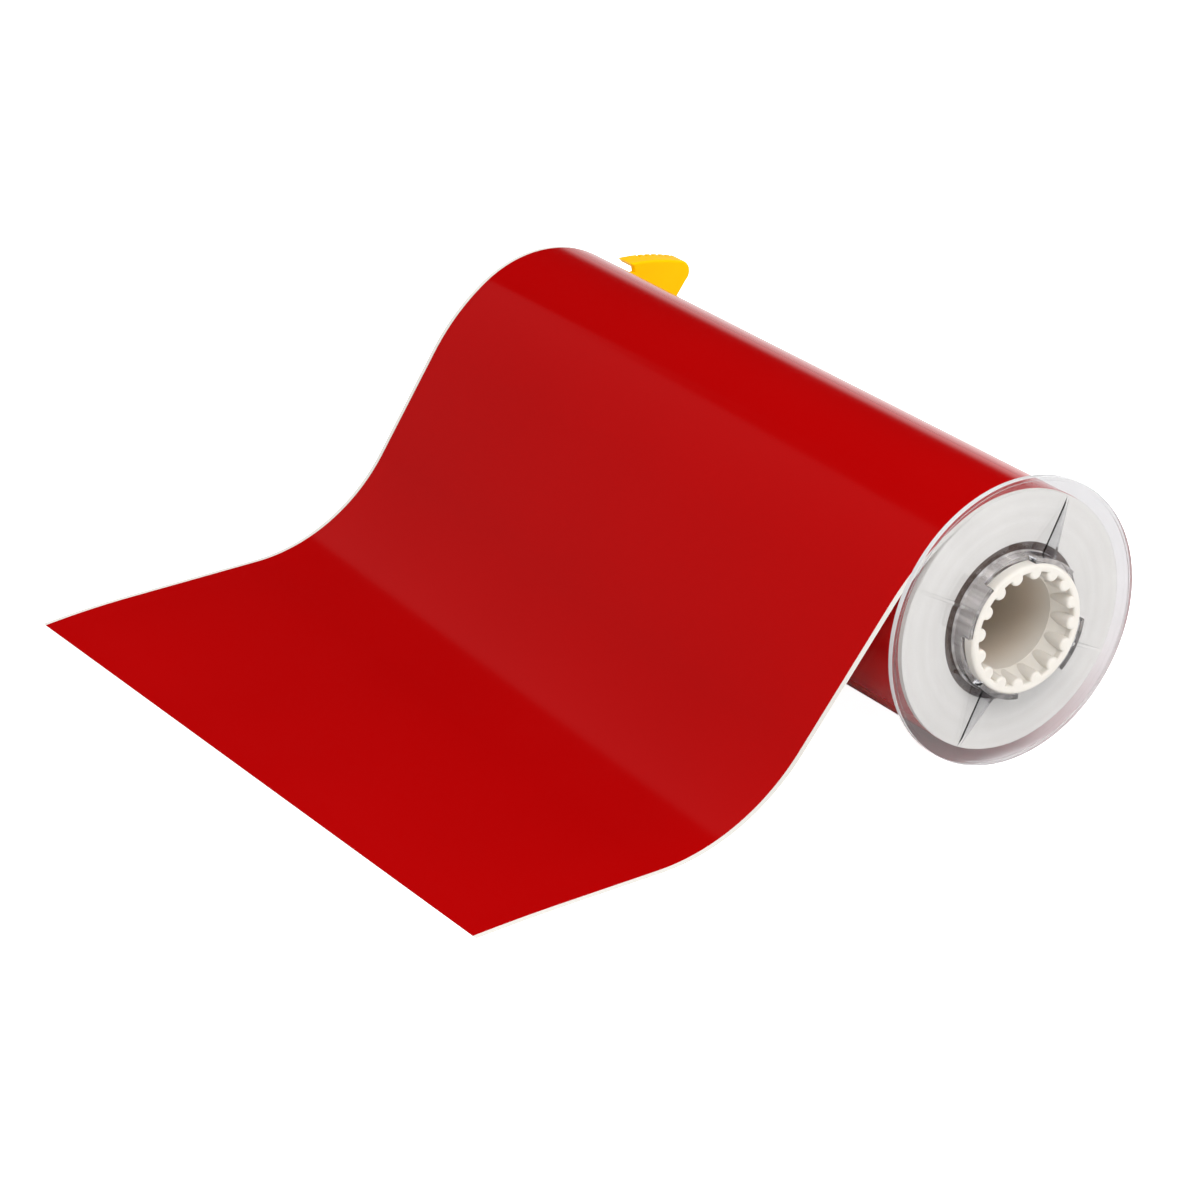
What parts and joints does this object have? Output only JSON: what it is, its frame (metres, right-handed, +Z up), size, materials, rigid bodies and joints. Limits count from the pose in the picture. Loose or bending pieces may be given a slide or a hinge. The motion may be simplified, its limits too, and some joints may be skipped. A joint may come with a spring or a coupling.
{
  "type": "roll of sign vinyl",
  "caption": "Roll of red sign vinyl on its liner and paper core, with a toothed drive hub, a clear side flange and a yellow chip holder; the free end leads off and lies flat.",
  "frame": {"origin": "on the roll's axis, at the middle of the web's width, inside the spindle bore", "axes": "+X along the axis to the toothed drive end, +Z up, the free tail leaves over the crest towards -Y and lies on the surface 46.8 mm below the axis"},
  "size_m": [0.2742, 0.2616, 0.0936],
  "materials": {
    "chipboard": "matte",
    "tape": "satin",
    "wound_edges": "matte",
    "liner": "satin",
    "vinyl": "satin",
    "hub_plastic": "satin",
    "clear_plastic": "gloss",
    "yellow_plastic": "satin",
    "board": "satin",
    "gold_contacts": "polished"
  },
  "bodies": {
    "roll": {"paper_core": "chipboard", "start_tape": "tape", "wound_web": "wound_edges", "liner_last_turn": "liner", "film_last_turn": "vinyl", "drive_hub": "hub_plastic", "far_hub": "hub_plastic"},
    "flange": {"clear_flange": "clear_plastic"},
    "holder": {"chip_holder": "yellow_plastic", "memory_board": "board", "memory_contacts": "gold_contacts"},
    "tail": {"film_tail": "vinyl", "liner_tail": "liner"}
  },
  "joints": [
    {"name": "flange_pull", "type": "slide", "parent": "roll", "child": "flange", "axis": [1, 0, 0], "range_m": [0, 0.03]},
    {"name": "holder_turn", "type": "hinge", "parent": "roll", "child": "holder", "pos_m": [0, 0, 0], "axis": [1, 0, 0], "continuous": true},
    {"name": "tail_lift", "type": "hinge", "parent": "roll", "child": "tail", "pos_m": [0, -0.01755, 0.03816], "axis": [-1, 0, 0], "range_deg": [0, 30]}
  ]
}
